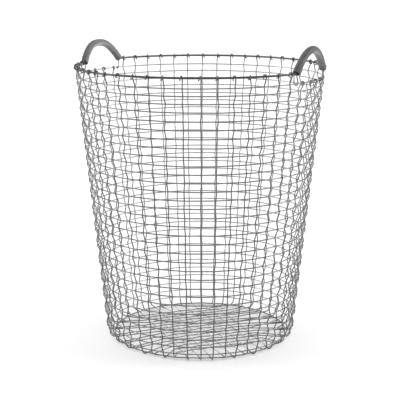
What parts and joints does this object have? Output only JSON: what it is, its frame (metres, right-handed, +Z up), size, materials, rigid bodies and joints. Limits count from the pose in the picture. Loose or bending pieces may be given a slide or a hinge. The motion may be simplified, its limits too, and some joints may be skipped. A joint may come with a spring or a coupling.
{
  "type": "woven wire basket",
  "caption": "Tall round open basket woven from galvanised wire, tapering to the base, with two arched tube-sleeved handles on the rim.",
  "frame": {"origin": "middle of the floor that the basket stands on", "axes": "+Z up along the basket's axis, +X through the middle of the right handle, -X through the left one"},
  "size_m": [0.4914, 0.4904, 0.5848],
  "materials": {
    "wire": "dull zinc-coated drawn wire",
    "sleeve": "dull zinc-coated tube, cut square at both ends"
  },
  "bodies": {
    "root": {"rim_rod": "wire", "handle_sleeve_right": "sleeve", "handle_sleeve_left": "sleeve", "weft_hoop_01_with_handle_ties": "wire", "weft_hoop_02": "wire", "weft_hoop_03": "wire", "weft_hoop_04": "wire", "weft_hoop_05": "wire", "weft_hoop_06": "wire", "weft_hoop_07": "wire", "weft_hoop_08": "wire", "weft_hoop_09": "wire", "weft_hoop_10": "wire", "weft_hoop_11": "wire", "weft_hoop_12": "wire", "weft_hoop_13": "wire", "weft_hoop_14": "wire", "weft_hoop_15": "wire", "weft_hoop_16": "wire", "weft_hoop_17": "wire", "weft_hoop_18": "wire", "weft_hoop_19": "wire", "weft_hoop_20": "wire", "weft_hoop_21": "wire", "weft_hoop_22": "wire", "weft_hoop_23": "wire", "weft_hoop_24": "wire", "weft_hoop_25": "wire", "weft_hoop_26": "wire", "weft_hoop_27": "wire", "weft_hoop_28": "wire", "weft_hoop_29": "wire", "weft_hoop_30": "wire", "weft_hoop_31": "wire", "base_ring": "wire", "warp_wire_01": "wire", "warp_wire_02": "wire", "warp_wire_03": "wire", "warp_wire_04": "wire", "warp_wire_05": "wire", "warp_wire_06": "wire", "warp_wire_07": "wire", "warp_wire_08": "wire", "warp_wire_09": "wire", "warp_wire_10": "wire", "warp_wire_11": "wire", "warp_wire_12": "wire", "warp_wire_13": "wire", "warp_wire_14": "wire", "warp_wire_15": "wire", "warp_wire_16": "wire", "warp_wire_17": "wire", "warp_wire_18": "wire", "warp_wire_19": "wire", "warp_wire_20": "wire", "warp_wire_21": "wire", "warp_wire_22": "wire", "warp_wire_23": "wire", "warp_wire_24": "wire", "warp_wire_25_with_weft_hoop_32": "wire"}
  },
  "joints": []
}
